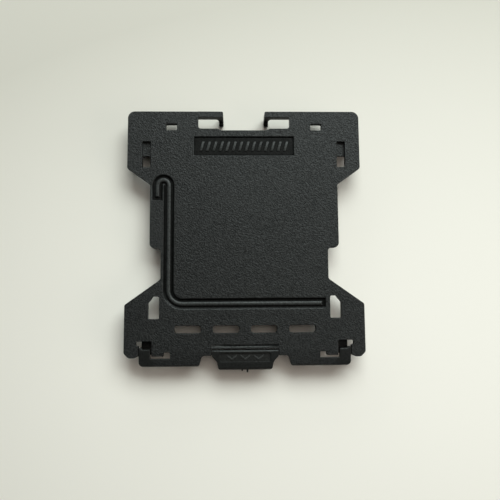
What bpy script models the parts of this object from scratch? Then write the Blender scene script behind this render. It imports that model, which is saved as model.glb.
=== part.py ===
"""Clip-on protective cover for the load plate of a desktop processor socket.

Black injection-moulded plastic. The cover lies flat with its face up (+Z) and its front
edge, with the two finger clips, towards +Y. It stands on the feet of its six clips at z = 0.
Dimensions are in millimetres and are turned into metres when a mesh is made.
"""

import math

import bmesh
import bpy
from mathutils import Vector

MM = 0.001

# Overall sizes
FRONT_Y = 25.8
TAB_TIP_Y = -25.8
PLATE_THICKNESS = 1.1
STAND_HEIGHT = 3.1
TOP_Z = STAND_HEIGHT + PLATE_THICKNESS
UPPER_WING_X = 23.37
LOWER_WING_X = 23.5
BODY_X = 18.75
WAIST_X = 16.55
REAR_EDGE_Y = -25.1

# Gaps between members that meet at a flexing root, and round the free edges of the arms
ROOT_GAP = 0.04
SLIT = 0.12
INNER_SLIT = 0.3
TAB_SIDE_GAP = 0.06

# Front fingers and the windows beside them
FINGER_ROOT_X = 9.25
FINGER_TIP_X = 4.2
FINGER_WIDTH = 1.2
FINGER_THICKNESS = 1.6
FINGER_LEG_X = 5.1
FINGER_WEB = (0.6, 1.1)
WINDOW_REAR_Y = 22.25
TONGUE_EDGE_Y = 21.9
FRONT_TOE_REACH = 0.8

# Rear snap arms
ARM_ROOT_X = 14.6
ARM_END_X = 20.6
ARM_STRIP_X = 18.45
ARM_BAND_WIDTH = 1.55
ARM_FREE_Y = -21.78
ARM_SHOULDER = (20.2, -21.4)
TOE_HOLE_FRONT_Y = -20.2
TOE_HOLE_X = 21.2
REAR_TOE_REACH = 1.68
REAR_TOE_X = 20.55
REAR_FLANGE_X = 18.05
REAR_FLANGE_Z = 2.4

# Upright slots of the upper wings, blind in front of a line, and the side hooks under them
SIDE_SLOT_X = (18.75, 20.4)
SIDE_SLOT_Y = (14.3, 19.55)
SIDE_SLOT_STEP_Y = 16.65
SIDE_SLOT_DEPTH = 0.65
SIDE_TOE_Y = (17.6, 20.6)
SIDE_TOE_THICKNESS = 1.9
SIDE_LEG_THICKNESS = 1.1

TOE_THICKNESS = 1.1
TOE_LEAD_IN = 0.45

# Lugs that hang from the front edge of the upper wings and stop against the load plate
LUG_X = (12.6, 16.2)
LUG_THICKNESS = 0.9
LUG_LOW_Z = 1.7

# Other openings through the plate
SMALL_SLOT_X = (13.5, 15.7)
SMALL_SLOT_Y = (21.9, 23.2)
LOWER_WINDOW_X = (16.75, 18.9)
LOWER_WINDOW_Y = (-15.9, -11.55)
REAR_SLOTS_X = ((1.15, 6.25), (8.6, 13.8))
REAR_SLOTS_Y = (-18.7, -17.25)

# Sunken name panel, left blank apart from a plain hatch
PANEL_HALF_X = 10.1
PANEL_Y = (16.6, 20.6)
PANEL_DEPTH = 0.45
PANEL_DRAFT = 0.25
PANEL_CORNER = 0.12
HATCH_BAR = (0.5, 1.9)
HATCH_PITCH = 1.3
HATCH_COUNT = 14
HATCH_SLANT = 0.55
HATCH_HEIGHT = 0.2
PLAQUE_THICKNESS = 0.14

# Raised outline of the socket's load lever, in a channel of its own
LEVER_SHORT_X = -17.3
LEVER_LONG_X = -15.0
LEVER_TURN_Y = 10.55
LEVER_BEND_RADIUS = 2.7
LEVER_CROSS_Y = -13.0
CHANNEL_START_Y = 7.55
CHANNEL_END_X = 15.9
CHANNEL_HALF_RIM = 1.07
CHANNEL_HALF_FLOOR = 0.72
CHANNEL_DEPTH = 0.45
BEAD_HALF_WIDTH = 0.5
BEAD_SETBACK = 0.65

# Pull tab and its hinge line
TAB_ROOT_Y = -21.85
TAB_HALF_ROOT = 6.5
TAB_RECESS_Y = (-24.25, -22.55)
TAB_RECESS_HALF_X = 4.9
TAB_RECESS_DEPTH = 0.2
TAB_ARROW_X = (-2.6, 0.0, 2.6)
TAB_ARROW_SIZE = (1.9, 1.15)
TAB_ARROW_STROKE = 0.42
RELIEF_GROOVE_Y = (-21.4, -20.9)
RELIEF_GROOVE_DEPTH = 0.22
NOTCH_Y = -23.05

# The rear edge falls away a little behind this line
SLOPE_START_Y = -22.15
SLOPE_DROP = 0.25

# Rails that drop into the window of the load plate
RAIL_WIDTH = 1.0
RAIL_HEIGHT = 1.7
RAIL_X = 15.4
RAIL_FRONT_Y = 18.2
RAIL_REAR_Y = -15.1
RAIL_CORNER_CLEARANCE = 1.4

ARC_STEP = math.radians(15)
OVERSHOOT = 0.6


# ---------------------------------------------------------------- outlines

def fillet(before, corner, after, radius):
    """Points of the arc that rounds one corner of an outline."""
    here = Vector(corner)
    inward = (Vector(before) - here).normalized()
    outward = (Vector(after) - here).normalized()
    angle = inward.angle(outward)
    if radius <= 0 or angle > math.pi - 1e-4:
        return [tuple(here)]
    setback = radius / math.tan(angle / 2)
    start = here + inward * setback
    centre = here + (inward + outward).normalized() * (radius / math.sin(angle / 2))
    sweep = math.pi - angle
    steps = max(2, math.ceil(sweep / ARC_STEP))
    turn = 1 if inward.x * outward.y - inward.y * outward.x < 0 else -1
    first = start - centre
    points = []
    for step in range(steps + 1):
        bearing = turn * sweep * step / steps
        x = first.x * math.cos(bearing) - first.y * math.sin(bearing)
        y = first.x * math.sin(bearing) + first.y * math.cos(bearing)
        points.append((centre.x + x, centre.y + y))
    return points


def rounded(corners):
    """A closed outline from (x, y, radius) corners."""
    outline = []
    for index, (x, y, radius) in enumerate(corners):
        before = corners[index - 1][:2]
        after = corners[(index + 1) % len(corners)][:2]
        outline += fillet(before, (x, y), after, radius)
    return outline


def rectangle(x_range, y_range, radius=0.0):
    (x0, x1), (y0, y1) = x_range, y_range
    return rounded([(x0, y0, radius), (x1, y0, radius), (x1, y1, radius), (x0, y1, radius)])


def mirrored(points):
    """The same outline on the other side of x = 0, still running the same way round."""
    return [(-x, y) for x, y in reversed(points)]


def on_side(points, side):
    return points if side > 0 else mirrored(points)


def scaled_about_centre(points, shrink):
    """A rectangle-like outline with each side moved in by the given distance."""
    xs = [x for x, _ in points]
    ys = [y for _, y in points]
    middle = ((min(xs) + max(xs)) / 2, (min(ys) + max(ys)) / 2)
    fx = 1 - 2 * shrink / (max(xs) - min(xs))
    fy = 1 - 2 * shrink / (max(ys) - min(ys))
    return [(middle[0] + (x - middle[0]) * fx, middle[1] + (y - middle[1]) * fy) for x, y in points]


# ---------------------------------------------------------------- solids

def plastic(name, colour, roughness):
    material = bpy.data.materials.new(name)
    material.use_nodes = True
    shader = material.node_tree.nodes["Principled BSDF"]
    shader.inputs["Base Color"].default_value = (*colour, 1)
    shader.inputs["Roughness"].default_value = roughness
    shader.inputs["Metallic"].default_value = 0
    return material


def new_object(name, work, material=None, origin=(0, 0, 0)):
    """An object from a bmesh in millimetres, with its origin where asked, also in millimetres."""
    bmesh.ops.translate(work, verts=work.verts, vec=-Vector(origin))
    bmesh.ops.scale(work, verts=work.verts, vec=(MM, MM, MM))
    bmesh.ops.recalc_face_normals(work, faces=work.faces)
    mesh = bpy.data.meshes.new(name)
    work.to_mesh(mesh)
    work.free()
    obj = bpy.data.objects.new(name, mesh)
    obj.location = Vector(origin) * MM
    bpy.context.scene.collection.objects.link(obj)
    if material:
        mesh.materials.append(material)
    return obj


def close_rings(work, rings):
    """Walls between each ring of vertices and the next, and a cap on the first and the last."""
    count = len(rings[0])
    for first, second in zip(rings, rings[1:]):
        for index in range(count):
            following = (index + 1) % count
            work.faces.new((first[index], first[following], second[following], second[index]))
    work.faces.new(list(reversed(rings[0])))
    work.faces.new(rings[-1])


def add_prism(work, low, high, z_low, z_high):
    """A solid between an outline at z_low and one with as many points at z_high."""
    lower = [work.verts.new((x, y, z_low)) for x, y in low]
    upper = [work.verts.new((x, y, z_high)) for x, y in high]
    close_rings(work, [lower, upper])


def prism(name, outline, z_low, z_high, material=None, origin=(0, 0, 0), top=None):
    work = bmesh.new()
    add_prism(work, outline, top or outline, z_low, z_high)
    return new_object(name, work, material, origin)


def extrusion(name, profile, direction, low, high, material=None, origin=(0, 0, 0)):
    """A profile pulled out along X, if its points are (y, z), or along Y, if they are (x, z)."""
    work = bmesh.new()
    rings = []
    for level in (low, high):
        points = [(level, a, z) if direction == "X" else (a, level, z) for a, z in profile]
        rings.append([work.verts.new(point) for point in points])
    close_rings(work, rings)
    return new_object(name, work, material, origin)


def sweep(name, path, profile, material=None):
    """A closed (offset, z) profile carried along a flat path, with capped ends."""
    work = bmesh.new()
    rings = []
    for index, point in enumerate(path):
        here = Vector(point)
        behind = (here - Vector(path[index - 1])).normalized() if index else None
        ahead = (Vector(path[index + 1]) - here).normalized() if index + 1 < len(path) else None
        if behind is None:
            tangent, stretch = ahead, 1.0
        elif ahead is None:
            tangent, stretch = behind, 1.0
        else:
            tangent = (behind + ahead).normalized()
            stretch = 1 / max(0.5, tangent.dot(ahead))
        normal = Vector((-tangent.y, tangent.x)) * stretch
        ring = [work.verts.new((*(here + normal * offset), z)) for offset, z in profile]
        rings.append(ring)
    close_rings(work, rings)
    return new_object(name, work, material)


def as_cutter(obj):
    obj.hide_render = True
    obj.display_type = "WIRE"
    return obj


def boolean(obj, other, operation="DIFFERENCE"):
    modifier = obj.modifiers.new(f"{operation.lower()} {other.name}", "BOOLEAN")
    modifier.operation = operation
    modifier.solver = "EXACT"
    modifier.object = other


def helper_prism(name, outline, z_low, z_high, top=None):
    return as_cutter(prism(name, outline, z_low, z_high, top=top))


# ---------------------------------------------------------------- cover plate

def right_half_outline():
    """Corners of the plate's right half, from the middle of the front to the middle of the rear."""
    return [
        (4.5, TONGUE_EDGE_Y, 0.3),
        (5.3, WINDOW_REAR_Y, 0.3),
        (FINGER_ROOT_X, WINDOW_REAR_Y, 0.6),
        (FINGER_ROOT_X, FRONT_Y, 0),
        (UPPER_WING_X, FRONT_Y, 1.4),
        (UPPER_WING_X, 14.05, 0.6),
        (BODY_X, 10.75, 0.5),
        (BODY_X, -2.05, 1.0),
        (WAIST_X, -2.05, 0.7),
        (WAIST_X, -8.2, 0.6),
        (LOWER_WING_X, -13.15, 0.6),
        (LOWER_WING_X, -22.5, 0.7),
        (22.6, -23.4, 0.7),
        (21.5, -23.4, 0.5),
        (ARM_END_X + SLIT, -23.05, 0),
        (ARM_END_X + SLIT, -21.12, 0.1),
        (TOE_HOLE_X, -21.02, 0.25),
        (TOE_HOLE_X, TOE_HOLE_FRONT_Y, 0.3),
        (ARM_STRIP_X - INNER_SLIT, TOE_HOLE_FRONT_Y, 0.3),
        (ARM_STRIP_X - INNER_SLIT, -23.1, 0),
        (15.85, -23.1, 0.2),
        (15.85, -22.35, 0.2),
        (ARM_ROOT_X, -22.35, 0.2),
        (ARM_ROOT_X, REAR_EDGE_Y, 0),
        (9.0, REAR_EDGE_Y, 0.5),
        (8.4, NOTCH_Y, 0.75),
        (TAB_HALF_ROOT + TAB_SIDE_GAP, NOTCH_Y, 0),
        (TAB_HALF_ROOT + TAB_SIDE_GAP, TAB_ROOT_Y + 0.06, 0),
    ]


def plate_outline():
    right = right_half_outline()
    left = [(-x, y, radius) for x, y, radius in reversed(right)]
    return rounded(right + left)


def through_hole(name, outline):
    return helper_prism(name, outline, STAND_HEIGHT - OVERSHOOT, TOP_Z + OVERSHOOT)


def lower_window():
    (x0, x1), (y0, y1) = LOWER_WINDOW_X, LOWER_WINDOW_Y
    return rounded([(x0, y0, 0.2), (x1, y0, 0.2), (x1, y1 - 1.25, 0.2), (x1 - 1.0, y1, 0.2), (x0, y1, 0.35)])


def cut_openings(plate):
    for side, word in ((1, "right"), (-1, "left")):
        outlines = {
            "side_slot": rectangle(SIDE_SLOT_X, (SIDE_SLOT_Y[0], SIDE_SLOT_STEP_Y), 0.2),
            "small_slot": rectangle(SMALL_SLOT_X, SMALL_SLOT_Y, 0.2),
            "lower_window": lower_window(),
        }
        for number, x_range in enumerate(REAR_SLOTS_X):
            outlines[f"rear_slot_{number}"] = rectangle(x_range, REAR_SLOTS_Y, 0.5)
        for name, outline in outlines.items():
            boolean(plate, through_hole(f"cut_{name}_{word}", on_side(outline, side)))
        pocket = on_side(rectangle(SIDE_SLOT_X, SIDE_SLOT_Y, 0.2), side)
        boolean(plate, helper_prism(f"cut_pocket_{word}", pocket, TOP_Z - SIDE_SLOT_DEPTH, TOP_Z + OVERSHOOT))


def lever_path(start_y, end_x):
    """Centre line of the lever outline: short leg, U-turn, long leg, bend and cross leg."""
    radius = (LEVER_LONG_X - LEVER_SHORT_X) / 2
    path = [(LEVER_SHORT_X, start_y)]
    for step in range(13):
        bearing = math.pi - math.pi * step / 12
        x = (LEVER_SHORT_X + LEVER_LONG_X) / 2 + radius * math.cos(bearing)
        path.append((x, LEVER_TURN_Y + radius * math.sin(bearing)))
    for step in range(9):
        bearing = math.pi + math.pi / 2 * step / 8
        x = LEVER_LONG_X + LEVER_BEND_RADIUS * (1 + math.cos(bearing))
        path.append((x, LEVER_CROSS_Y + LEVER_BEND_RADIUS * (1 + math.sin(bearing))))
    path.append((end_x, LEVER_CROSS_Y))
    return path


def cut_face_details(plate):
    """The channel of the lever outline, the name panel and the groove in front of the tab."""
    floor = TOP_Z - CHANNEL_DEPTH
    channel_profile = [
        (-CHANNEL_HALF_FLOOR, floor),
        (CHANNEL_HALF_FLOOR, floor),
        (CHANNEL_HALF_RIM, TOP_Z),
        (CHANNEL_HALF_RIM, TOP_Z + OVERSHOOT),
        (-CHANNEL_HALF_RIM, TOP_Z + OVERSHOOT),
        (-CHANNEL_HALF_RIM, TOP_Z),
    ]
    channel = sweep("cut_channel", lever_path(CHANNEL_START_Y, CHANNEL_END_X), channel_profile)
    boolean(plate, as_cutter(channel))

    rim = rectangle((-PANEL_HALF_X, PANEL_HALF_X), PANEL_Y, PANEL_CORNER)
    above = scaled_about_centre(rim, -PANEL_DRAFT)
    floor_outline = scaled_about_centre(rim, PANEL_DRAFT)
    panel = helper_prism(
        "cut_panel", floor_outline, TOP_Z - PANEL_DEPTH, TOP_Z + PANEL_DEPTH, top=above
    )
    boolean(plate, panel)

    groove_front, groove_rear = max(RELIEF_GROOVE_Y), min(RELIEF_GROOVE_Y)
    groove_profile = [
        (groove_rear, TOP_Z + OVERSHOOT),
        (groove_rear, TOP_Z),
        (groove_rear + 0.2, TOP_Z - RELIEF_GROOVE_DEPTH),
        (groove_front, TOP_Z),
        (groove_front, TOP_Z + OVERSHOOT),
    ]
    groove = extrusion("cut_relief_groove", groove_profile, "X", -TAB_HALF_ROOT, TAB_HALF_ROOT)
    boolean(plate, as_cutter(groove))


def rear_slope_cutter():
    """Wedge above the rear edge, shared by the plate, the arms and the tab."""
    end_y = TAB_TIP_Y - 1
    drop = SLOPE_DROP * (SLOPE_START_Y - end_y) / (SLOPE_START_Y - REAR_EDGE_Y)
    profile = [(SLOPE_START_Y, TOP_Z), (SLOPE_START_Y, TOP_Z + 1), (end_y, TOP_Z + 1), (end_y, TOP_Z - drop)]
    half_width = ARM_END_X + SLIT / 2
    return as_cutter(extrusion("cut_rear_slope", profile, "X", -half_width, half_width))


def make_plate(material, slope):
    plate = prism("cover_plate", plate_outline(), STAND_HEIGHT, TOP_Z, material)
    for side, word in ((1, "right"), (-1, "left")):
        lug = on_side(rectangle(LUG_X, (FRONT_Y - LUG_THICKNESS, FRONT_Y)), side)
        boolean(plate, helper_prism(f"add_lug_{word}", lug, LUG_LOW_Z, TOP_Z - 0.5), "UNION")
    cut_openings(plate)
    cut_face_details(plate)
    boolean(plate, slope)
    return plate


# ---------------------------------------------------------------- face details

def make_lever_bead(material):
    floor = TOP_Z - CHANNEL_DEPTH + ROOT_GAP
    height = TOP_Z - floor
    profile = [(-BEAD_HALF_WIDTH, floor), (BEAD_HALF_WIDTH, floor)]
    for step in range(1, 8):
        bearing = math.pi * step / 8
        profile.append((BEAD_HALF_WIDTH * math.cos(bearing), floor + height * math.sin(bearing)))
    path = lever_path(CHANNEL_START_Y + BEAD_SETBACK, CHANNEL_END_X - BEAD_SETBACK)
    bead = sweep("lever_outline_bead", path, profile, material)
    bead.data.shade_smooth()
    bead.data.set_sharp_from_angle(angle=math.radians(40))


def slanted_bar(x, y, width, length, slant):
    half = length / 2
    return [
        (x - width / 2 - slant / 2, y - half),
        (x + width / 2 - slant / 2, y - half),
        (x + width / 2 + slant / 2, y + half),
        (x - width / 2 + slant / 2, y + half),
    ]


def make_name_plaque(material):
    """A thin plaque on the panel's floor, with a plain hatch of slanted bars."""
    floor = TOP_Z - PANEL_DEPTH + ROOT_GAP
    rim = rectangle((-PANEL_HALF_X, PANEL_HALF_X), PANEL_Y, PANEL_CORNER)
    plaque = prism(
        "name_plaque", scaled_about_centre(rim, PANEL_DRAFT + 0.05), floor, floor + PLAQUE_THICKNESS, material
    )
    middle_y = sum(PANEL_Y) / 2
    work = bmesh.new()
    for number in range(HATCH_COUNT):
        x = (number - (HATCH_COUNT - 1) / 2) * HATCH_PITCH
        bar = slanted_bar(x, middle_y, *HATCH_BAR, HATCH_SLANT)
        top = floor + PLAQUE_THICKNESS + HATCH_HEIGHT
        add_prism(work, bar, bar, floor + PLAQUE_THICKNESS / 2, top)
    bars = as_cutter(new_object("add_hatch_bars", work))
    boolean(plaque, bars, "UNION")


# ---------------------------------------------------------------- front fingers

def make_front_finger(side, word, beam_material, hook_material):
    rear_y = FRONT_Y - FINGER_WIDTH
    axis = (side * FINGER_ROOT_X, FRONT_Y - FINGER_WIDTH / 2, TOP_Z - PLATE_THICKNESS / 2)
    outline = rounded(
        [
            (FINGER_TIP_X, rear_y, 0),
            (FINGER_ROOT_X - ROOT_GAP, rear_y, 0),
            (FINGER_ROOT_X - ROOT_GAP, FRONT_Y, 0),
            (FINGER_TIP_X, FRONT_Y, 0.3),
        ]
    )
    beam_low = TOP_Z - FINGER_THICKNESS
    prism(f"front_finger_{word}", on_side(outline, side), beam_low, TOP_Z, beam_material, axis)
    toe_y = rear_y - FRONT_TOE_REACH
    under = beam_low - ROOT_GAP
    profile = [
        (FRONT_Y - 0.15, under),
        (rear_y, under),
        (rear_y, TOE_THICKNESS + 0.1),
        (toe_y + 0.2, TOE_THICKNESS),
        (toe_y, TOE_THICKNESS - 0.2),
        (toe_y, TOE_LEAD_IN),
        (toe_y + TOE_LEAD_IN, 0),
        (FRONT_Y - 0.6, 0),
        (FRONT_Y - 0.15, 0.45),
    ]
    x_range = sorted((side * FINGER_TIP_X, side * FINGER_LEG_X))
    hook = extrusion(f"front_hook_{word}", profile, "X", *x_range, hook_material, axis)
    web = [
        (side * (FINGER_LEG_X - 0.3), under),
        (side * (FINGER_LEG_X + FINGER_WEB[0]), under),
        (side * (FINGER_LEG_X + FINGER_WEB[0] * 0.3), under - FINGER_WEB[1] * 0.35),
        (side * FINGER_LEG_X, under - FINGER_WEB[1]),
        (side * (FINGER_LEG_X - 0.3), under - FINGER_WEB[1]),
    ]
    boolean(hook, as_cutter(extrusion(f"add_web_{word}", web, "Y", rear_y, FRONT_Y - 0.15)), "UNION")


# ---------------------------------------------------------------- rear snap arms

def make_rear_arm(side, word, arm_material, hook_material, slope):
    band_front_y = REAR_EDGE_Y + ARM_BAND_WIDTH
    axis = (side * ARM_ROOT_X, REAR_EDGE_Y + ARM_BAND_WIDTH / 2, TOP_Z - PLATE_THICKNESS / 2)
    outline = rounded(
        [
            (ARM_ROOT_X + ROOT_GAP, REAR_EDGE_Y, 0),
            (ARM_END_X, REAR_EDGE_Y, 0.95),
            (ARM_END_X, ARM_SHOULDER[1], 0.1),
            (ARM_SHOULDER[0], ARM_SHOULDER[1], 0.1),
            (ARM_SHOULDER[0] - 0.3, ARM_FREE_Y, 0.1),
            (ARM_STRIP_X, ARM_FREE_Y, 0.1),
            (ARM_STRIP_X, band_front_y, 0.2),
            (ARM_ROOT_X + ROOT_GAP, band_front_y, 0),
        ]
    )
    arm = prism(
        f"rear_arm_{word}", on_side(outline, side), STAND_HEIGHT, TOP_Z, arm_material, axis
    )
    boolean(arm, slope)
    leg_rear_y = ARM_FREE_Y - 1.1
    toe_y = ARM_FREE_Y + REAR_TOE_REACH
    under = STAND_HEIGHT - ROOT_GAP
    profile = [
        (leg_rear_y, under),
        (leg_rear_y, 0.45),
        (leg_rear_y + 0.45, 0),
        (toe_y - TOE_LEAD_IN, 0),
        (toe_y, TOE_LEAD_IN),
        (toe_y, TOE_THICKNESS - 0.2),
        (toe_y - 0.2, TOE_THICKNESS),
        (ARM_FREE_Y, TOE_THICKNESS + 0.1),
        (ARM_FREE_Y, under),
    ]
    x_range = sorted((side * (ARM_STRIP_X + 0.1), side * REAR_TOE_X))
    hook = extrusion(f"rear_hook_{word}", profile, "X", *x_range, hook_material, axis)
    flange = [(y, min(z, REAR_FLANGE_Z)) for y, z in profile]
    flange_x = sorted((side * REAR_FLANGE_X, side * (ARM_STRIP_X + 0.6)))
    boolean(hook, as_cutter(extrusion(f"add_flange_{word}", flange, "X", *flange_x)), "UNION")


# ---------------------------------------------------------------- side hooks

def make_side_hook(side, word, material):
    """A stiff leg with an inward toe, outside the load plate's edge."""
    inner_x = SIDE_SLOT_X[1] + 0.05
    outer_x = inner_x + SIDE_LEG_THICKNESS
    toe_x = SIDE_SLOT_X[0] + 0.1
    under = STAND_HEIGHT - 0.08
    axis = (side * (inner_x + outer_x) / 2, sum(SIDE_TOE_Y) / 2, STAND_HEIGHT)
    profile = [
        (inner_x, under),
        (inner_x, SIDE_TOE_THICKNESS + 0.05),
        (toe_x + 0.2, SIDE_TOE_THICKNESS),
        (toe_x, SIDE_TOE_THICKNESS - 0.2),
        (toe_x, TOE_LEAD_IN),
        (toe_x + TOE_LEAD_IN, 0),
        (outer_x - 0.45, 0),
        (outer_x, 0.45),
        (outer_x, under),
    ]
    profile = [(side * x, z) for x, z in profile]
    extrusion(f"side_hook_{word}", profile, "Y", *SIDE_TOE_Y, material, axis)


# ---------------------------------------------------------------- pull tab

def tab_outline():
    right = [
        (TAB_HALF_ROOT, TAB_ROOT_Y + 1, 0),
        (TAB_HALF_ROOT, -23.15, 0.6),
        (5.55, -24.2, 1.0),
        (5.2, TAB_TIP_Y, 0.6),
    ]
    left = [(-x, y, radius) for x, y, radius in reversed(right)]
    return rounded(right + left)


def arrow(x, y, width, height):
    """A plain chevron that points to the rear."""
    half = width / 2
    stroke = TAB_ARROW_STROKE
    rise = height - stroke
    return [
        (x - half, y + height / 2),
        (x - half, y + height / 2 - stroke),
        (x, y - rise - stroke + height / 2),
        (x + half, y + height / 2 - stroke),
        (x + half, y + height / 2),
        (x, y - rise + height / 2),
    ]


def make_pull_tab(material, slope):
    """A tab with a rounded root edge that turns about the centre of that round."""
    radius = PLATE_THICKNESS / 2
    axis = (0, TAB_ROOT_Y - radius, TOP_Z - radius)
    profile = [(TAB_TIP_Y - 1, TOP_Z), (TAB_TIP_Y - 1, STAND_HEIGHT)]
    for step in range(9):
        bearing = -math.pi / 2 + math.pi * step / 8
        profile.append((axis[1] + radius * math.cos(bearing), axis[2] + radius * math.sin(bearing)))
    tab = extrusion("pull_tab", profile, "X", -TAB_HALF_ROOT - 1, TAB_HALF_ROOT + 1, material, axis)
    limit = helper_prism("keep_tab_outline", tab_outline(), STAND_HEIGHT - 1, TOP_Z + 1)
    boolean(tab, limit, "INTERSECT")
    boolean(tab, slope)
    middle_y = sum(TAB_RECESS_Y) / 2
    recess = rectangle((-TAB_RECESS_HALF_X, TAB_RECESS_HALF_X), TAB_RECESS_Y, 0.25)
    cut = helper_prism("cut_tab_recess", recess, TOP_Z - TAB_RECESS_DEPTH - 0.13, TOP_Z + OVERSHOOT)
    for number, x in enumerate(TAB_ARROW_X):
        chevron = arrow(x, middle_y, *TAB_ARROW_SIZE)
        keep = helper_prism(f"keep_arrow_{number}", chevron, TOP_Z - 1, TOP_Z - TAB_RECESS_DEPTH + 0.02)
        boolean(cut, keep)
    boolean(tab, cut)


# ---------------------------------------------------------------- locating rails

def make_rails(material):
    """Four rails under the plate that drop into the window of the load plate."""
    half = RAIL_WIDTH / 2
    low = STAND_HEIGHT - ROOT_GAP - RAIL_HEIGHT
    high = STAND_HEIGHT - ROOT_GAP
    across = (-RAIL_X + RAIL_CORNER_CLEARANCE, RAIL_X - RAIL_CORNER_CLEARANCE)
    along = (RAIL_REAR_Y + RAIL_CORNER_CLEARANCE, RAIL_FRONT_Y - RAIL_CORNER_CLEARANCE)
    footprints = {
        "front_rail": (across, (RAIL_FRONT_Y - half, RAIL_FRONT_Y + half)),
        "rear_rail": (across, (RAIL_REAR_Y - half, RAIL_REAR_Y + half)),
        "left_rail": ((-RAIL_X - half, -RAIL_X + half), along),
        "right_rail": ((RAIL_X - half, RAIL_X + half), along),
    }
    for name, (x_range, y_range) in footprints.items():
        outline = rectangle(x_range, y_range, 0.25)
        tapered = scaled_about_centre(outline, 0.12)
        prism(name, tapered, low, high, material, top=outline)


def main():
    for obj in list(bpy.data.objects):
        bpy.data.objects.remove(obj, do_unlink=True)
    grained = plastic("grained_black", (0.035, 0.038, 0.037), 0.62)
    smooth = plastic("smooth_black", (0.022, 0.023, 0.023), 0.42)
    raised = plastic("raised_black", (0.04, 0.043, 0.042), 0.5)
    slope = rear_slope_cutter()
    make_plate(grained, slope)
    make_lever_bead(raised)
    make_name_plaque(smooth)
    make_pull_tab(smooth, slope)
    make_rails(smooth)
    for side, word in ((1, "right"), (-1, "left")):
        make_front_finger(side, word, grained, smooth)
        make_rear_arm(side, word, smooth, smooth, slope)
        make_side_hook(side, word, smooth)


main()
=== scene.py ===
"""Visual model of a clip-on socket cover in black plastic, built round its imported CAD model."""

import math

import bmesh
import bpy
from mathutils import Matrix, Vector


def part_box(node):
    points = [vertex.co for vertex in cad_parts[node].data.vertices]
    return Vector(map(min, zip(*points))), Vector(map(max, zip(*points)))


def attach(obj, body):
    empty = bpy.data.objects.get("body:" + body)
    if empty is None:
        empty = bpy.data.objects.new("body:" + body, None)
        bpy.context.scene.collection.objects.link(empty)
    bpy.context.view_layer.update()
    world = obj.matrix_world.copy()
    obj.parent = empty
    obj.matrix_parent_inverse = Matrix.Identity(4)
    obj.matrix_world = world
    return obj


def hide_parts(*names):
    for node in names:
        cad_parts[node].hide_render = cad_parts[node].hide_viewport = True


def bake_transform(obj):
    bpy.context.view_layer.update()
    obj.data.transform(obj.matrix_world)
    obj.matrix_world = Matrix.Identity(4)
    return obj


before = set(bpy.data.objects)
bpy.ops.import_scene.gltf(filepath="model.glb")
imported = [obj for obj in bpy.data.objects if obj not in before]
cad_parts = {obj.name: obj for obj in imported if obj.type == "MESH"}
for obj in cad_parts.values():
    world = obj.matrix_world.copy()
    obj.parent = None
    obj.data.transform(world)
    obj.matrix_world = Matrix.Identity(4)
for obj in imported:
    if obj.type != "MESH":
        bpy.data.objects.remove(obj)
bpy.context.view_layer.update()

scene = bpy.context.scene
MM = 0.001

# All sizes down to the materials are in millimetres.

# Lines of the moulding where its moving members join the cover
FINGER_ROOT_X = 9.25
ARM_ROOT_X = 14.6
ARM_STRIP_X = 18.45
ARM_FLANGE_X = 18.0
ARM_END_X = 20.6
SIDE_CUT_Z = 3.0

# How far a member is pushed into its neighbour, how near the root its moved points lie, and
# how far from a member's edge the moulding is cut, inside the slit beside it
ROOT_OVERLAP = 0.08
ROOT_MARGIN = 0.1
HALF_SLIT = 0.06

# How far the name panel is widened to meet the walls of its pocket
HATCH_SPREAD = 0.1

# Blocks round the clips, from which their share of the moulding comes
THROUGH_Z = (-1, 6)
UNDER_Z = (-1, SIDE_CUT_Z)
FINGER_BLOCK_X = (3.6, FINGER_ROOT_X)
FINGER_BLOCK_Y = (23.0, 27.0)
ARM_BLOCK_Y = (-26.5, -23.3)
ARM_STRIP_BLOCK_Y = (-26.5, -21.28)
ARM_FLANGE_BLOCK_Y = (-24.0, -19.6)
SIDE_BLOCK_X = (18.5, 21.9)
SIDE_BLOCK_Y = (17.4, 20.8)

# Heights that tell the parts of a piece from each other
HOOK_ROOT_Z = 2.5
UNDERSIDE_Z = 3.0
RAIL_TOP_Z = 3.1
SUNKEN_Z = (3.6, 4.02)
RIM_Z = 4.02
BEAD_FOOT_Z = 3.9
BEAD_SHOULDER_Z = 4.1
HATCH_FOOT_Z = 3.82
HATCH_PANEL_Z = 3.95
HATCH_TOP_Z = 3.97

# Everything sunken behind this line belongs to the tab's groove and keeps the grain
GROOVE_Y = -21

# Shares of a face's normal that point up, or to the front, on rims, floors, lit walls and tops
RIM_UP = (0.25, 0.95)
FLOOR_UP = 0.3
LIT_WALL_FRONT = 0.5
BEAD_TOP_UP = 0.72
CHEVRON_UP = 0.95

# Raised chevrons of the tab
CHEVRON_TOP = (3.95, 4.03)
TAB_RECESS_HALF_X = 4.7
TAB_RECESS_Y = (-24.2, -22.6)

# Stubs left where the moulding was broken off its feed: place in X, radius and length
TAB_STUBS = ((-0.6, 0.2, 0.25), (0.4, 0.24, 0.5))
TAB_TIP_Y = -25.8
TAB_STUB_ROOT = 0.3
FRONT_STUBS = ((-17.95, 0.35, 0.1), (-16.55, 0.3, 0.13))
FRONT_Y = 25.8
FRONT_STUB_ROOT = 0.1
STUB_Z = 3.5
STUB_TAPER = 0.62

# Rounded rear edges: where each ends in Y, how high its top is, and how far it reaches in X
ARM_REAR = (-25.1, 4.0, (8.0, 21.5))
TAB_REAR = (-25.8, 3.93, (-5.5, 5.5))
REAR_ROUND = 0.5
REAR_ROUND_STEPS = 6
REAR_CLEARANCE = 1
COINCIDENCE_GAP = 0.001

# Planes across the plate that pass through each of its openings
CUTS_X = (-19.5, -17.8, -14.5, -11.2, -3.7, 0.0, 3.7, 11.2, 14.5, 17.8, 19.5)

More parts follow.
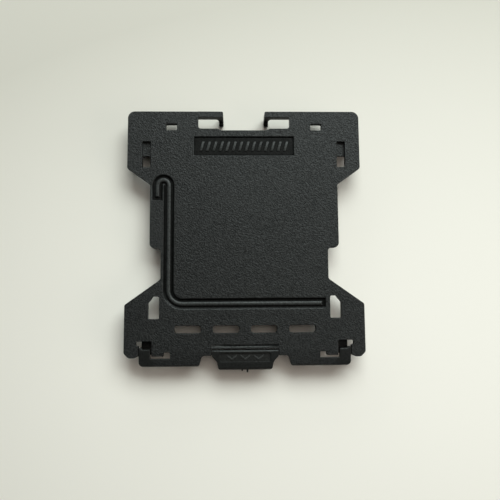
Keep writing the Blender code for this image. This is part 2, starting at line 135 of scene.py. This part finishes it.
# Radii of the small rounds, and the share of a neighbouring flat edge that a round may take up
EDGE_ROUND = 0.1
SMALL_ROUND = 0.06
BEAD_ROUND = 0.3
WIDEST_ROUND = 0.3
ROOM_SHARE = 0.6

# Tolerances of the mesh clean-up
SAME_POINT = 1e-4
SHORTEST_EDGE = 0.012
EMPTY_EDGE = 5e-4
ON_PLANE = 0.01
FLAT_ANGLE = math.radians(0.6)
ROUND_ANGLE = math.radians(28)
SMOOTH_ANGLE = math.radians(32)
NORMALS_WEIGHT = 90

SIDES = (("left", -1), ("right", 1))


# ---------------------------------------------------------------- mesh tools

def cad_solid(node):
    """A CAD node's mesh in millimetres, with the vertices of neighbouring faces joined."""
    bm = bmesh.new()
    bm.from_mesh(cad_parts[node].data)
    bm.transform(Matrix.Scale(1 / MM, 4))
    bmesh.ops.remove_doubles(bm, verts=bm.verts, dist=SAME_POINT)
    return bm


def pushed(bm, chosen, shift):
    """Moves the chosen vertices, to close the small gap that the CAD model leaves at a root."""
    for vert in bm.verts:
        if chosen(vert.co):
            vert.co += Vector(shift)
    return bm


def helper(bm):
    """A hidden object that holds a mesh while it is being cut and joined."""
    mesh = bpy.data.meshes.new("helper")
    bm.to_mesh(mesh)
    bm.free()
    obj = bpy.data.objects.new("helper", mesh)
    scene.collection.objects.link(obj)
    return obj


def block(low, high):
    """A helper box between two corners."""
    bm = bmesh.new()
    bmesh.ops.create_cube(bm, size=1)
    size = Vector(high) - Vector(low)
    middle = (Vector(low) + Vector(high)) / 2
    bm.transform(Matrix.Translation(middle) @ Matrix.Diagonal((*size, 1)))
    return helper(bm)


def evaluated(base):
    """A new helper with the mesh that an object's modifiers give."""
    bpy.context.view_layer.update()
    depsgraph = bpy.context.evaluated_depsgraph_get()
    mesh = bpy.data.meshes.new_from_object(base.evaluated_get(depsgraph))
    result = bpy.data.objects.new("helper", mesh)
    scene.collection.objects.link(result)
    return result


def combined(base, tools, operation):
    """A new helper: base with each tool joined to it, cut from it or shared with it in turn."""
    for tool in tools:
        modifier = base.modifiers.new("step", "BOOLEAN")
        modifier.operation = operation
        modifier.solver = "EXACT"
        modifier.object = tool
    result = evaluated(base)
    base.modifiers.clear()
    return result


def drop(*helpers):
    """Deletes helpers that are no longer needed."""
    for obj in helpers:
        bpy.data.objects.remove(obj)


def bmesh_of(obj):
    """The mesh of a helper, which is deleted."""
    bm = bmesh.new()
    bm.from_mesh(obj.data)
    drop(obj)
    return bm


def rounded(bm, width_of, segments=3):
    """The mesh with its sharp convex edges rounded, each by the width that width_of gives for it.

    A round is narrower where a flat edge that meets it is short. The flat faces are first divided
    along CUTS_X, so that no face has a hole in it.
    """
    bmesh.ops.remove_doubles(bm, verts=bm.verts, dist=SHORTEST_EDGE)
    bmesh.ops.dissolve_limit(bm, angle_limit=FLAT_ANGLE, verts=bm.verts, edges=bm.edges)
    for x in CUTS_X:
        geometry = bm.verts[:] + bm.edges[:] + bm.faces[:]
        cut = bmesh.ops.bisect_plane(
            bm, geom=geometry, plane_co=(x, 0, 0), plane_no=(1, 0, 0), dist=SAME_POINT)
        for item in cut["geom_cut"]:
            if isinstance(item, bmesh.types.BMEdge):
                item.seam = True
    bmesh.ops.remove_doubles(bm, verts=bm.verts, dist=SHORTEST_EDGE)
    bmesh.ops.dissolve_limit(
        bm, angle_limit=FLAT_ANGLE, verts=bm.verts, edges=bm.edges, delimit={"SEAM"})
    weights = bm.edges.layers.float.new("bevel_weight_edge")
    sharp = {
        edge for edge in bm.edges
        if edge.is_manifold and edge.is_convex and edge.calc_face_angle() > ROUND_ANGLE
    }
    for edge in sharp:
        flat = [other for vert in edge.verts for other in vert.link_edges if other not in sharp]
        room = ROOM_SHARE * min((other.calc_length() for other in flat), default=math.inf)
        edge[weights] = min(width_of(edge), room) / WIDEST_ROUND
    base = helper(bm)
    modifier = base.modifiers.new("round", "BEVEL")
    modifier.width = WIDEST_ROUND
    modifier.segments = segments
    modifier.limit_method = "WEIGHT"
    modifier.miter_outer = "MITER_SHARP"
    modifier.use_clamp_overlap = False
    result = evaluated(base)
    drop(base)
    return bmesh_of(result)


def rear_cutter(end_y, top_z, x_range, side=1):
    """What a round of radius REAR_ROUND takes off an upper rear edge that runs along X."""
    radius = REAR_ROUND + COINCIDENCE_GAP
    profile = [(end_y + REAR_ROUND, top_z + REAR_CLEARANCE)]
    for step in range(REAR_ROUND_STEPS + 1):
        bearing = math.pi / 2 + math.pi / 2 * step / REAR_ROUND_STEPS
        y = end_y + REAR_ROUND + radius * math.cos(bearing)
        z = top_z - REAR_ROUND + radius * math.sin(bearing)
        profile.append((y, z))
    profile.append((end_y - REAR_CLEARANCE, top_z - REAR_ROUND))
    profile.append((end_y - REAR_CLEARANCE, top_z + REAR_CLEARANCE))
    bm = bmesh.new()
    first, last = sorted(side * x for x in x_range)
    rings = [[bm.verts.new((x, y, z)) for y, z in profile] for x in (first, last)]
    for index in range(len(profile)):
        following = (index + 1) % len(profile)
        bm.faces.new((rings[0][index], rings[0][following], rings[1][following], rings[1][index]))
    bm.faces.new(reversed(rings[0]))
    bm.faces.new(rings[1])
    bmesh.ops.recalc_face_normals(bm, faces=bm.faces)
    return helper(bm)


def stub(x, y, radius, length):
    """A broken-off stub of plastic that stands out towards +Y, or towards -Y if its length is negative."""
    turn = Matrix.Rotation(math.radians(-90 if length > 0 else 90), 4, "X")
    place = Matrix.Translation((x, y + length / 2, STUB_Z)) @ turn
    bm = bmesh.new()
    bmesh.ops.create_cone(
        bm, cap_ends=True, segments=16, radius1=radius, radius2=radius * STUB_TAPER,
        depth=abs(length), matrix=place)
    return helper(bm)


def finished(name, bm, materials, nodes, body=None, bend=None, zone=None):
    """Turns a mesh in millimetres into a piece that stands for its CAD nodes and moves with its body, if it
    is given one.

    The zone function gives, from a face's middle and normal, the number of its material.
    """
    bmesh.ops.remove_doubles(bm, verts=bm.verts, dist=EMPTY_EDGE)
    bmesh.ops.dissolve_degenerate(bm, edges=bm.edges, dist=EMPTY_EDGE)
    bmesh.ops.recalc_face_normals(bm, faces=bm.faces)
    if zone:
        for face in bm.faces:
            face.material_index = zone(face.calc_center_median(), face.normal)
    bm.transform(Matrix.Scale(MM, 4))
    mesh = bpy.data.meshes.new(name)
    bm.to_mesh(mesh)
    bm.free()
    for polygon in mesh.polygons:
        polygon.use_smooth = True
    mesh.set_sharp_from_angle(angle=SMOOTH_ANGLE)
    for material in materials:
        mesh.materials.append(material)
    piece = bpy.data.objects.new(name, mesh)
    scene.collection.objects.link(piece)
    normals = piece.modifiers.new("normals", "WEIGHTED_NORMAL")
    normals.keep_sharp = True
    normals.weight = NORMALS_WEIGHT
    if bend:
        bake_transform(piece)
    else:
        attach(piece, body)
    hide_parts(*nodes)
    return piece


# ---------------------------------------------------------------- materials

class Nodes:
    """Adds nodes to a material and links them, one call each."""

    def __init__(self, name):
        self.material = bpy.data.materials.new(name)
        self.material.use_nodes = True
        self.tree = self.material.node_tree
        self.shader = self.tree.nodes["Principled BSDF"]
        self.place = self.add("ShaderNodeTexCoord").outputs["Object"]

    def add(self, kind, inputs=None, **settings):
        node = self.tree.nodes.new(kind)
        for key, value in settings.items():
            setattr(node, key, value)
        for socket, value in (inputs or {}).items():
            if isinstance(value, bpy.types.NodeSocket):
                self.tree.links.new(value, node.inputs[socket])
            else:
                node.inputs[socket].default_value = value
        return node

    def noise(self, size, detail=2.0, roughness=0.5):
        """Noise whose lumps are about size millimetres across."""
        node = self.add("ShaderNodeTexNoise", {
            "Vector": self.place, "Scale": 1 / (size * MM), "Detail": detail, "Roughness": roughness})
        return node.outputs["Fac"]

    def cells(self, size):
        """Rounded cells about size millimetres across."""
        node = self.add("ShaderNodeTexVoronoi", {
            "Vector": self.place, "Scale": 1 / (size * MM), "Smoothness": 0.6}, feature="SMOOTH_F1")
        return node.outputs["Distance"]

    def maths(self, operation, first, second):
        return self.add("ShaderNodeMath", {0: first, 1: second}, operation=operation).outputs[0]

    def span(self, value, low, high, to_low, to_high):
        """Value turned from low..high into to_low..to_high."""
        node = self.add("ShaderNodeMapRange", {
            "Value": value, "From Min": low, "From Max": high, "To Min": to_low, "To Max": to_high})
        return node.outputs["Result"]

    def ramp(self, value, *stops):
        """The colour that the stops, each a position and a colour, give for a value."""
        node = self.add("ShaderNodeValToRGB", {"Fac": value})
        band = node.color_ramp
        while len(band.elements) < len(stops):
            band.elements.new(0.5)
        for element, (position, colour) in zip(band.elements, stops):
            element.position = position
            element.color = (*colour, 1)
        return node.outputs["Color"]

    def link(self, value, socket):
        self.tree.links.new(value, self.shader.inputs[socket])

    def bump(self, height, depth, under=None):
        """A normal bent by a relief depth millimetres deep, on top of the normal under it."""
        inputs = {"Height": height, "Distance": depth * MM, "Strength": 1.0}
        if under:
            inputs["Normal"] = under
        return self.add("ShaderNodeBump", inputs).outputs["Normal"]


def shade(colour, factor):
    """A colour made lighter or darker."""
    return tuple(channel * factor for channel in colour)


# The grain: its pits' depth and its specks' size as shares of each other's, and the size and depth
# of the finer grain on top of it as shares of its own
PIT_SHARE = 0.8
SPECK_SIZE = 1.3
FINE_SIZE = 0.45
FINE_DEPTH = 0.35

# The usual span of the grain's height, and the wider span over which its roughness changes
GRAIN_SPAN = (0.45, 1.15)
GRAIN_ROUGH_SPAN = (0.4, 1.2)
ROUGHNESS_CHANGE = 0.06
SHEEN_SHARE = 0.4

# The tone: shares of the grain and of slow clouds, the clouds' size, and where the colours stand
GRAIN_SHARE = 0.7
CLOUD_SHARE = 0.3
CLOUD_SIZE = 9.0
DARK_STOP = 0.2
PALE_STOP = 0.75


def moulded_plastic(name, colour, roughness, sheen, grain_depth, grain_size, contrast):
    """Black plastic from a spark-eroded mould: a pitted grain, and slow changes of tone from the flow."""
    n = Nodes(name)
    pits = n.cells(grain_size)
    specks = n.noise(grain_size * SPECK_SIZE, detail=3.0, roughness=0.6)
    grain = n.maths("ADD", n.maths("MULTIPLY", pits, PIT_SHARE), specks)
    clouds = n.maths("MULTIPLY", n.noise(CLOUD_SIZE, detail=3.0), CLOUD_SHARE)
    relief = n.maths("MULTIPLY", n.span(grain, *GRAIN_SPAN, 0, 1), GRAIN_SHARE)
    dark, pale = shade(colour, 1 - contrast), shade(colour, 1 + contrast)
    tone = n.ramp(n.maths("ADD", relief, clouds), (DARK_STOP, dark), (PALE_STOP, pale))
    n.link(tone, "Base Color")
    rough = n.span(grain, *GRAIN_ROUGH_SPAN, roughness + ROUGHNESS_CHANGE, roughness - ROUGHNESS_CHANGE)
    n.link(rough, "Roughness")
    low_sheen, high_sheen = (sheen * (1 + sign * SHEEN_SHARE * contrast) for sign in (-1, 1))
    n.link(n.span(grain, *GRAIN_SPAN, low_sheen, high_sheen), "Specular IOR Level")
    fine = n.bump(n.noise(grain_size * FINE_SIZE, detail=1.0), grain_depth * FINE_DEPTH)
    n.link(n.bump(grain, grain_depth, under=fine), "Normal")
    return n.material


# Colour, roughness, sheen, depth and size of the grain in millimetres, and its contrast
grained = moulded_plastic("grained_black_plastic", (0.0095, 0.0096, 0.0096), 0.48, 0.225, 0.075, 0.26, 0.75)
# The rims are painted paler than the grain, as a highlight on the rounded edges, and are smoother.
rim_highlight = moulded_plastic("rim_highlight_black_plastic", (0.0125, 0.0128, 0.0125), 0.4, 0.25, 0.012, 0.5, 0.8)
# Satin is the smooth finish of the sunken floors, painted darker than the grain as the shade and dark
# reflection in those recesses and under the plate.
shaded_satin = moulded_plastic("shaded_satin_black_plastic", (0.004, 0.0042, 0.004), 0.4, 0.08, 0.015, 0.35, 0.5)
raised = moulded_plastic("raised_black_plastic", (0.019, 0.0198, 0.0193), 0.5, 0.3, 0.025, 0.3, 0.5)
tab_black = moulded_plastic("tab_black_plastic", (0.0078, 0.008, 0.0077), 0.42, 0.26, 0.02, 0.3, 0.4)
chevron_black = moulded_plastic("chevron_black_plastic", (0.02, 0.0203, 0.0198), 0.5, 0.3, 0.01, 0.3, 0.4)
# The hooks under the face are painted near black, as the shade that they lie in.
hook = moulded_plastic("hook_black_plastic_painted_shade", (0.004, 0.004, 0.0038), 0.42, 0.15, 0.01, 0.3, 0.4)


# ---------------------------------------------------------------- the moulding

def mirrored_block(sign, x, y, z):
    """A helper box with its X range taken to the side that the sign gives."""
    lows, highs = zip(sorted((sign * x[0], sign * x[1])), y, z)
    return block(lows, highs)


def clip_blocks(side, sign):
    """The blocks round each clip of one side, by the name of the clip's body."""
    arm_end = ARM_END_X + HALF_SLIT
    return {
        f"front_clip_{side}": [mirrored_block(sign, FINGER_BLOCK_X, FINGER_BLOCK_Y, THROUGH_Z)],
        f"rear_clip_{side}": [
            mirrored_block(sign, (ARM_ROOT_X, arm_end), ARM_BLOCK_Y, THROUGH_Z),
            mirrored_block(sign, (ARM_STRIP_X - HALF_SLIT, arm_end), ARM_STRIP_BLOCK_Y, THROUGH_Z),
            mirrored_block(sign, (ARM_FLANGE_X, arm_end), ARM_FLANGE_BLOCK_Y, UNDER_Z),
        ],
        f"side_clip_{side}": [mirrored_block(sign, SIDE_BLOCK_X, SIDE_BLOCK_Y, UNDER_Z)],
    }


def whole_moulding():
    """The plate with its clips and front stubs, joined as one, with the arms' rear edges rounded."""
    members = []
    for side, sign in SIDES:
        finger = cad_solid(f"front_finger_{side}")
        pushed(finger, lambda co: abs(co.x) > FINGER_ROOT_X - ROOT_MARGIN, (sign * ROOT_OVERLAP, 0, 0))
        arm = cad_solid(f"rear_arm_{side}")
        pushed(arm, lambda co: abs(co.x) < ARM_ROOT_X + ROOT_MARGIN, (-sign * ROOT_OVERLAP, 0, 0))
        members += [helper(finger), helper(arm)]
        for node in (f"front_hook_{side}", f"rear_hook_{side}", f"side_hook_{side}"):
            leg = pushed(cad_solid(node), lambda co: co.z > HOOK_ROOT_Z, (0, 0, 2 * ROOT_OVERLAP))
            members.append(helper(leg))
    for x, radius, length in FRONT_STUBS:
        members.append(stub(x, FRONT_Y - FRONT_STUB_ROOT, radius, length + FRONT_STUB_ROOT))
    plate = helper(cad_solid("cover_plate"))
    joined = combined(plate, members, "UNION")
    cutters = [rear_cutter(*ARM_REAR, side=side) for side in (-1, 1)]
    moulding = combined(joined, cutters, "DIFFERENCE")
    drop(plate, joined, *members, *cutters)
    return moulding


def moulding_pieces():
    """The moulding cut where its clips bend: a helper for each clip's body, and one for the cover."""
    moulding = whole_moulding()
    blocks_of = {}
    for side, sign in SIDES:
        blocks_of.update(clip_blocks(side, sign))
    pieces = {}
    for name, blocks in blocks_of.items():
        region = combined(blocks[0], blocks[1:], "UNION")
        pieces[name] = combined(moulding, [region], "INTERSECT")
        rest = combined(moulding, [region], "DIFFERENCE")
        drop(moulding, region, *blocks)
        moulding = rest
    pieces["cover"] = moulding
    return pieces


def on_cut(edge):
    """True for an edge that lies in a plane where the moulding was cut."""
    ends = [vert.co for vert in edge.verts]
    if all(abs(co.z - SIDE_CUT_Z) < ON_PLANE for co in ends):
        return True
    return any(all(abs(abs(co.x) - x) < ON_PLANE for co in ends) for x in (FINGER_ROOT_X, ARM_ROOT_X))


def edge_width(edge):
    """A small rounding, and none on a cut."""
    return 0 if on_cut(edge) else EDGE_ROUND


PLASTICS = [grained, shaded_satin, hook, rim_highlight, tab_black]
GRAINED, SATIN_SHADE, HOOK, RIM_HIGHLIGHT, STRIP = range(len(PLASTICS))


def on_rim(middle, normal):
    """True for the small rounds round the top of the moulding, which are painted paler as a highlight."""
    return middle.z > RIM_Z and RIM_UP[0] < normal.z < RIM_UP[1]


def cover_zone(middle, normal):
    """Satin on the sunken floors of the face and on the walls there that face away from the light, painted
    dark as shade; rims painted paler as a highlight; and grain everywhere else, walls lit from the front
    included.
    """
    sunken = SUNKEN_Z[0] < middle.z < SUNKEN_Z[1] and middle.y > GROOVE_Y
    # Floors and walls turned away from the light are painted dark as shade; walls lit from the front keep
    # the grain.
    if sunken and normal.z >= FLOOR_UP and normal.y <= LIT_WALL_FRONT:
        return SATIN_SHADE
    return RIM_HIGHLIGHT if on_rim(middle, normal) else GRAINED


def clip_zone(middle, normal):
    """Hooks under the face painted dark as shade, rims painted paler as a highlight, and the smooth strip
    at the free end of each rear arm.
    """
    if middle.z < UNDERSIDE_Z:
        return HOOK
    if on_rim(middle, normal):
        return RIM_HIGHLIGHT
    return STRIP if abs(middle.x) > ARM_STRIP_X - ROOT_MARGIN else GRAINED


# Where the clips bend, in metres: the two points along each clip's root
BEND_Z = 0.00365
FINGER_BEND_Y = 0.0252
FINGER_BEND_END_X = 5.3 * MM
ARM_BEND_Y = -0.0243
SIDE_BEND_Y = 0.0191
SIDE_BEND_END_Z = 2.2 * MM


def clip_bend(name, kind, sign):
    """A clip's body, and the two points between which its root bends."""
    if kind == "front":
        start = (sign * FINGER_ROOT_X * MM, FINGER_BEND_Y, BEND_Z)
        return name, start, (sign * FINGER_BEND_END_X, FINGER_BEND_Y, BEND_Z)
    if kind == "rear":
        start = (sign * ARM_ROOT_X * MM, ARM_BEND_Y, BEND_Z)
        return name, start, (sign * ARM_STRIP_X * MM, ARM_BEND_Y, BEND_Z)
    return name, (0, SIDE_BEND_Y, SIDE_CUT_Z * MM), (0, SIDE_BEND_Y, SIDE_BEND_END_Z)


CLIP_NODES = {
    "front": ("front_finger", "front_hook"),
    "rear": ("rear_arm", "rear_hook"),
    "side": ("side_hook",),
}

for name, obj in moulding_pieces().items():
    bm = rounded(bmesh_of(obj), edge_width)
    if name == "cover":
        finished(
            "cover_moulding", bm, PLASTICS, ["cover_plate"], body="cover",
            zone=cover_zone)
        continue
    kind, _, side = name.split("_")
    bend = clip_bend(name, kind, dict(SIDES)[side])
    nodes = [f"{node}_{side}" for node in CLIP_NODES[kind]]
    finished(name, bm, PLASTICS, nodes, bend=bend, zone=clip_zone)


# ---------------------------------------------------------------- the pieces on the moulding

def small_width(edge):
    """A very small rounding on every edge."""
    return SMALL_ROUND


def bead_edge_width(edge):
    """A full rounding on the bead's top, and none on its foot."""
    return BEAD_ROUND if max(vert.co.z for vert in edge.verts) > BEAD_SHOULDER_Z else 0


def rail_edge_width(edge):
    """A small rounding, and none where the rail meets the plate."""
    return EDGE_ROUND if max(vert.co.z for vert in edge.verts) < RAIL_TOP_Z else 0


def bead_shade_zone(middle, normal):
    """The bead's flanks are painted dark as shade, and its top paler as a painted highlight."""
    return int(normal.z > BEAD_TOP_UP)


def hatch_zone(middle, normal):
    """The hatch is raised and paler than the panel that it stands on."""
    return int(middle.z > HATCH_TOP_Z)


def tab_zone(middle, normal):
    """The flat tops of the chevrons are a little paler."""
    flat_top = CHEVRON_TOP[0] < middle.z < CHEVRON_TOP[1] and normal.z > CHEVRON_UP
    in_recess = abs(middle.x) < TAB_RECESS_HALF_X and TAB_RECESS_Y[0] < middle.y < TAB_RECESS_Y[1]
    return int(flat_top and in_recess)


def make_hatch():
    """The name panel with its hatch, with the gap closed between the panel and its pocket."""
    hatch = cad_solid("name_plaque")
    low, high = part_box("name_plaque")
    for vert in hatch.verts:
        if vert.co.z < HATCH_PANEL_Z:
            for axis in (0, 1):
                for edge, out in ((low[axis] / MM, -HATCH_SPREAD), (high[axis] / MM, HATCH_SPREAD)):
                    if abs(vert.co[axis] - edge) < ON_PLANE:
                        vert.co[axis] += out
        if vert.co.z < HATCH_FOOT_Z:
            vert.co.z -= ROOT_OVERLAP
    return rounded(hatch, small_width, 2)


def make_tab():
    """The tab with its rear edge rounded and the two stubs on its tip."""
    tab = helper(cad_solid("pull_tab"))
    root_y = TAB_TIP_Y + TAB_STUB_ROOT
    stubs = [stub(x, root_y, radius, -length - TAB_STUB_ROOT) for x, radius, length in TAB_STUBS]
    cutter = rear_cutter(*TAB_REAR)
    smooth = combined(tab, [cutter], "DIFFERENCE")
    whole = combined(smooth, stubs, "UNION")
    drop(tab, smooth, cutter, *stubs)
    return rounded(bmesh_of(whole), small_width)


bead = pushed(cad_solid("lever_outline_bead"), lambda co: co.z < BEAD_FOOT_Z, (0, 0, -ROOT_OVERLAP))
# The bead's flanks take satin as painted shade, and its top the paler raised plastic as a painted
# highlight.
finished(
    "lever_bead", rounded(bead, bead_edge_width), [shaded_satin, raised],
    ["lever_outline_bead"], body="cover", zone=bead_shade_zone)
# The panel under the hatch is satin, painted dark as shade.
finished(
    "name_panel_hatch", make_hatch(), [shaded_satin, raised], ["name_plaque"],
    body="cover", zone=hatch_zone)
finished(
    "rear_pull_tab", make_tab(), [tab_black, chevron_black], ["pull_tab"],
    body="tab", zone=tab_zone)
for side in ("front", "rear", "left", "right"):
    rail = pushed(cad_solid(f"{side}_rail"), lambda co: co.z > UNDERSIDE_Z, (0, 0, ROOT_OVERLAP))
    finished(
        f"{side}_locating_rail", rounded(rail, rail_edge_width), [shaded_satin],
        [f"{side}_rail"], body="cover")


# ---------------------------------------------------------------- floor, lights and camera

# Half the floor's width, and the middle, reach and proportions of the pool of light painted on it, in
# metres
FLOOR_REACH = 1.5
PAINTED_LIGHT_CENTRE = (0.0237, -0.0357, 0.0)
PAINTED_LIGHT_REACH = 0.09
PAINTED_LIGHT_SHAPE = (0.64, 1.0, 0.0)
PAINTED_LIT_PAPER = (0.935, 0.868, 0.807)
PAINTED_SHADED_PAPER = (0.62, 0.575, 0.515)


def paper():
    """Pale paper with a pool of light painted on it: painted lightest to the right of the object's rear,
    and painted darker as shade away from there.
    """
    n = Nodes("pale_paper_painted_light")
    flat = n.add("ShaderNodeVectorMath", {0: n.place, 1: PAINTED_LIGHT_SHAPE}, operation="MULTIPLY")
    distance = n.add(
        "ShaderNodeVectorMath", {0: flat.outputs[0], 1: PAINTED_LIGHT_CENTRE}, operation="DISTANCE")
    # The paper's tone is painted light: a painted pool of light that falls off into painted shade.
    painted_falloff = n.maths("POWER", n.span(distance.outputs["Value"], 0.0, PAINTED_LIGHT_REACH, 0.0, 1.0), 2.0)
    n.link(n.ramp(painted_falloff, (0.0, PAINTED_LIT_PAPER), (1.0, PAINTED_SHADED_PAPER)), "Base Color")
    n.shader.inputs["Roughness"].default_value = 0.75
    n.shader.inputs["Specular IOR Level"].default_value = 0.3
    n.link(n.bump(n.noise(1.2, detail=4.0), 0.004), "Normal")
    return n.material


floor_mesh = bpy.data.meshes.new("floor")
corners = [(-1, -1), (1, -1), (1, 1), (-1, 1)]
floor_mesh.from_pydata([(x * FLOOR_REACH, y * FLOOR_REACH, 0) for x, y in corners], [], [(0, 1, 2, 3)])
floor = bpy.data.objects.new("floor", floor_mesh)
scene.collection.objects.link(floor)
floor_mesh.materials.append(paper())


def area_light(name, azimuth, elevation, size, power, colour, distance=0.7):
    """A soft rectangular light, its size in metres and its angles in degrees, that faces the object."""
    light = bpy.data.lights.new(name, "AREA")
    light.shape = "RECTANGLE"
    light.size, light.size_y = size
    light.energy = power
    light.color = colour
    obj = bpy.data.objects.new(name, light)
    bearing, height = math.radians(azimuth), math.radians(elevation)
    level = math.cos(height)
    away = Vector((level * math.cos(bearing), level * math.sin(bearing), math.sin(height)))
    obj.location = away * distance
    obj.rotation_euler = (-away).to_track_quat("-Z", "Y").to_euler()
    scene.collection.objects.link(obj)


KEY_COLOUR = (0.885, 1.0, 0.975)
FILL_COLOUR = (1.0, 0.95, 0.865)
area_light("key", 69, 43, (0.7, 0.4), 6.6, KEY_COLOUR)
area_light("right_fill", 345, 22, (0.45, 0.3), 1.05, FILL_COLOUR)
area_light("rear_fill", 285, 28, (0.5, 0.4), 0.16, FILL_COLOUR)
area_light("overhead", 60, 78, (0.45, 0.25), 0.4, FILL_COLOUR, distance=0.52)
area_light("front_low", 100, 14, (0.6, 0.16), 0.9, KEY_COLOUR)
area_light("left_low", 150, 18, (0.35, 0.2), 0.25, KEY_COLOUR)

world = bpy.data.worlds.new("world")
world.use_nodes = True
background = world.node_tree.nodes["Background"]
background.inputs["Color"].default_value = (1, 0.97, 0.93, 1)
background.inputs["Strength"].default_value = 0.02
scene.world = world
scene.view_settings.view_transform = "Standard"

# The camera's place in metres, and its turn from looking straight down, in degrees
CAMERA_PLACE = (-0.00179, -0.01362, 0.11032)
CAMERA_TURN = (("Z", -0.421), ("Y", -1.493), ("X", 5.996))

camera_data = bpy.data.cameras.new("camera")
camera_data.sensor_width = 36
camera_data.lens = 38.88
camera_data.clip_start = 0.005
camera = bpy.data.objects.new("camera", camera_data)
turn = Matrix.Identity(4)
for axis, degrees in CAMERA_TURN:
    turn = turn @ Matrix.Rotation(math.radians(degrees), 4, axis)
camera.matrix_world = Matrix.Translation(CAMERA_PLACE) @ turn
scene.collection.objects.link(camera)
scene.camera = camera
